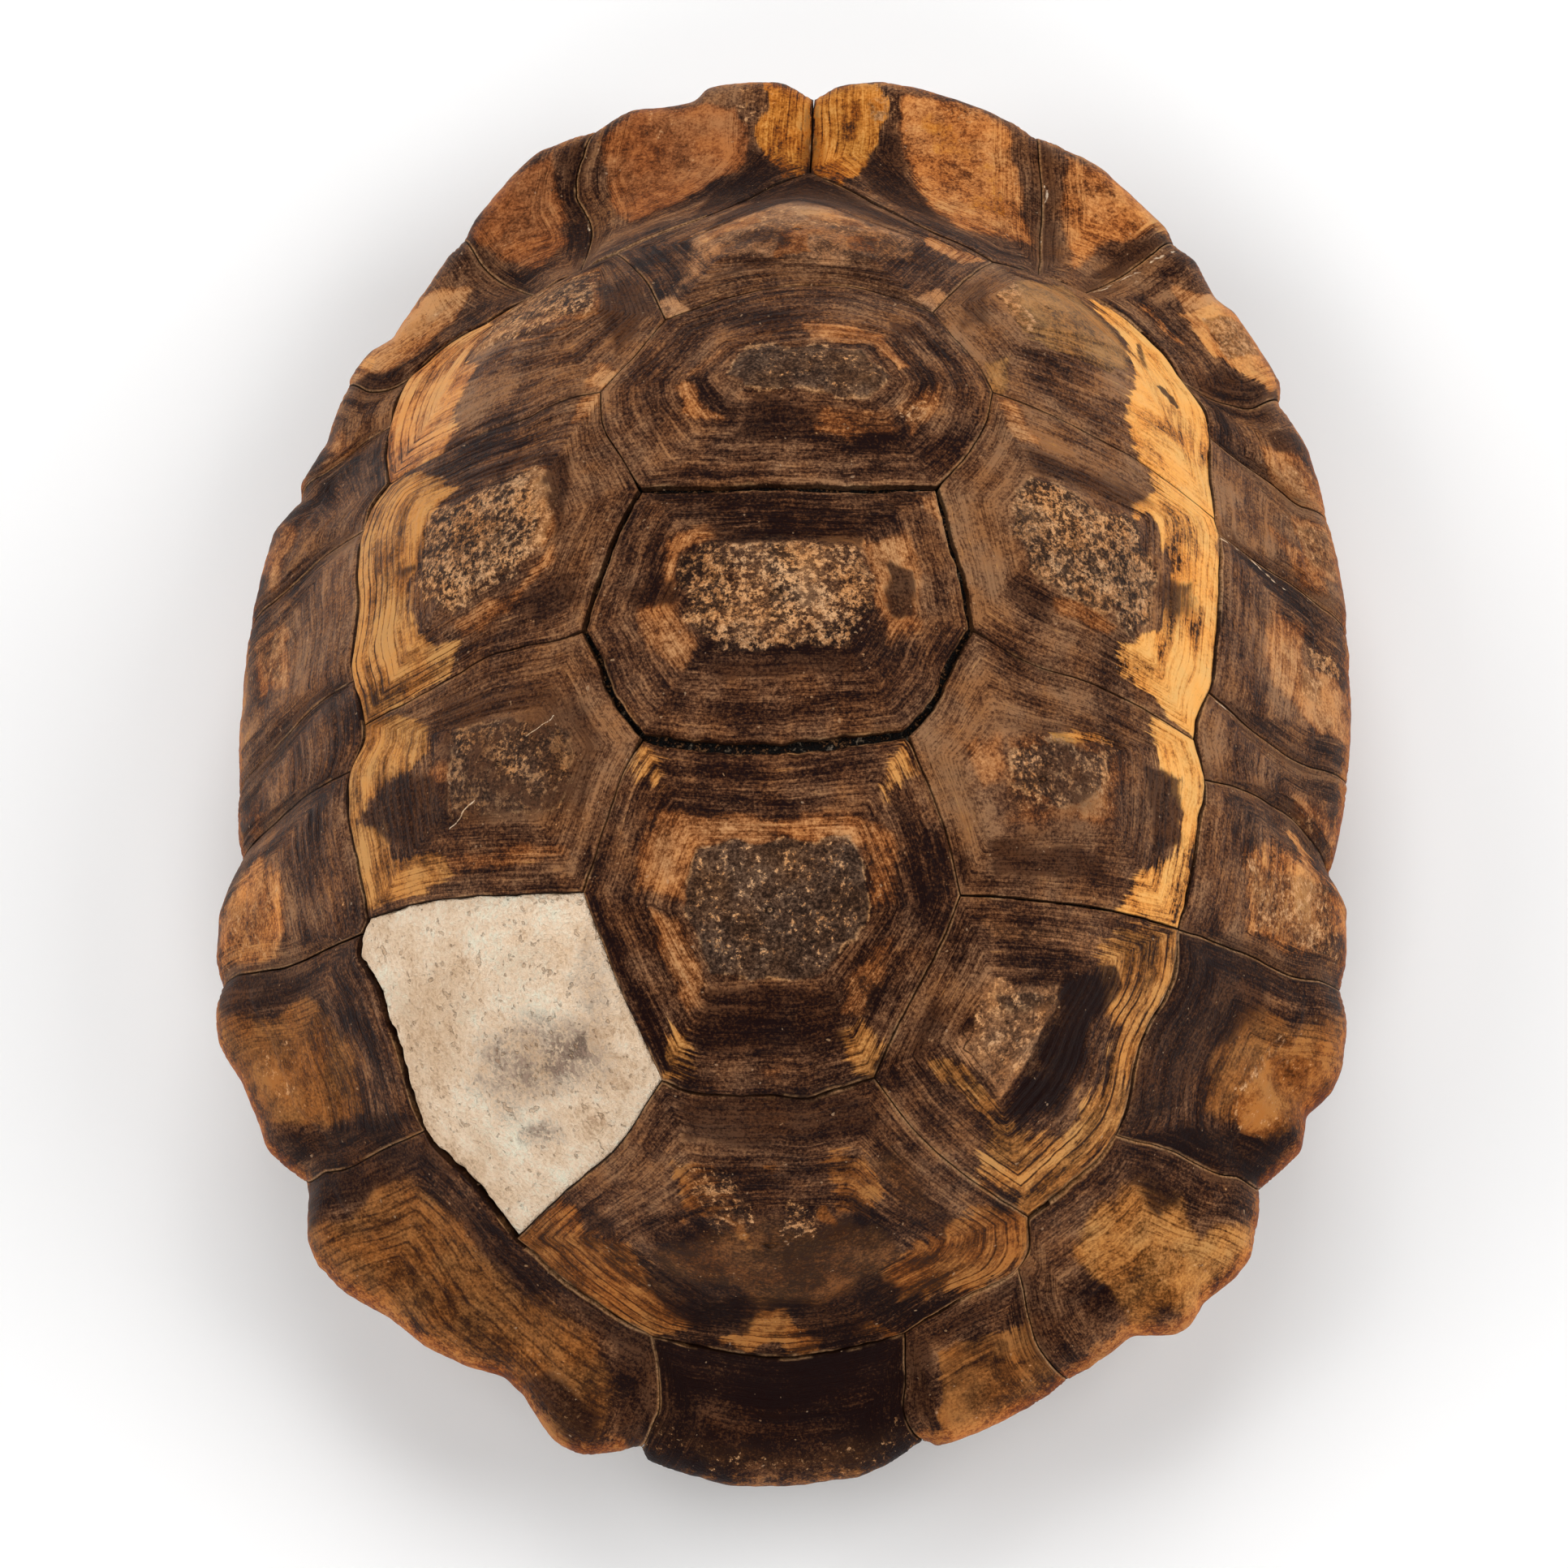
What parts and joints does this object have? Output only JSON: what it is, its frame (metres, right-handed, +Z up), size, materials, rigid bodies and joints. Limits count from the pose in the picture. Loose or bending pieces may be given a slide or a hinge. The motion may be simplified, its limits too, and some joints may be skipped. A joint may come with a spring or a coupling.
{
  "type": "tortoise shell",
  "caption": "Dry domed land tortoise shell, carapace and plastron, horn scutes with growth rings on grown bone, one costal scute shed so that the bone shows.",
  "frame": {"origin": "middle of the bounding box's base, on the ground under the plastron", "axes": "+Y towards the head end, +Z up towards the crown of the back, +X towards the animal's right side"},
  "size_m": [0.1132, 0.1465, 0.0669],
  "materials": {
    "bone": "matte",
    "vertebral_horn": "satin",
    "costal_horn": "satin",
    "marginal_horn": "satin",
    "plastron_horn": "satin"
  },
  "bodies": {
    "root": {"bone_shell": "bone", "vertebral_scute_1": "vertebral_horn", "vertebral_scute_2": "vertebral_horn", "vertebral_scute_3": "vertebral_horn", "vertebral_scute_4": "vertebral_horn", "vertebral_scute_5": "vertebral_horn", "costal_scute_left_1": "costal_horn", "costal_scute_left_2": "costal_horn", "costal_scute_left_3": "costal_horn", "costal_scute_right_1": "costal_horn", "costal_scute_right_2": "costal_horn", "costal_scute_right_3": "costal_horn", "costal_scute_right_4": "costal_horn", "marginal_scute_left_1": "marginal_horn", "marginal_scute_left_2": "marginal_horn", "marginal_scute_left_3": "marginal_horn", "marginal_scute_left_4": "marginal_horn", "marginal_scute_left_5": "marginal_horn", "marginal_scute_left_6": "marginal_horn", "marginal_scute_left_7": "marginal_horn", "marginal_scute_left_8": "marginal_horn", "marginal_scute_left_9": "marginal_horn", "marginal_scute_left_10": "marginal_horn", "marginal_scute_right_1": "marginal_horn", "marginal_scute_right_2": "marginal_horn", "marginal_scute_right_3": "marginal_horn", "marginal_scute_right_4": "marginal_horn", "marginal_scute_right_5": "marginal_horn", "marginal_scute_right_6": "marginal_horn", "marginal_scute_right_7": "marginal_horn", "marginal_scute_right_8": "marginal_horn", "marginal_scute_right_9": "marginal_horn", "marginal_scute_right_10": "marginal_horn", "marginal_scute_right_11": "marginal_horn", "supracaudal_scute": "marginal_horn", "gular_scute_left": "plastron_horn", "gular_scute_right": "plastron_horn", "humeral_scute_left": "plastron_horn", "humeral_scute_right": "plastron_horn", "pectoral_scute_left": "plastron_horn", "pectoral_scute_right": "plastron_horn", "abdominal_scute_left": "plastron_horn", "abdominal_scute_right": "plastron_horn", "femoral_scute_left": "plastron_horn", "femoral_scute_right": "plastron_horn", "anal_scute_left": "plastron_horn", "anal_scute_right": "plastron_horn"}
  },
  "joints": []
}
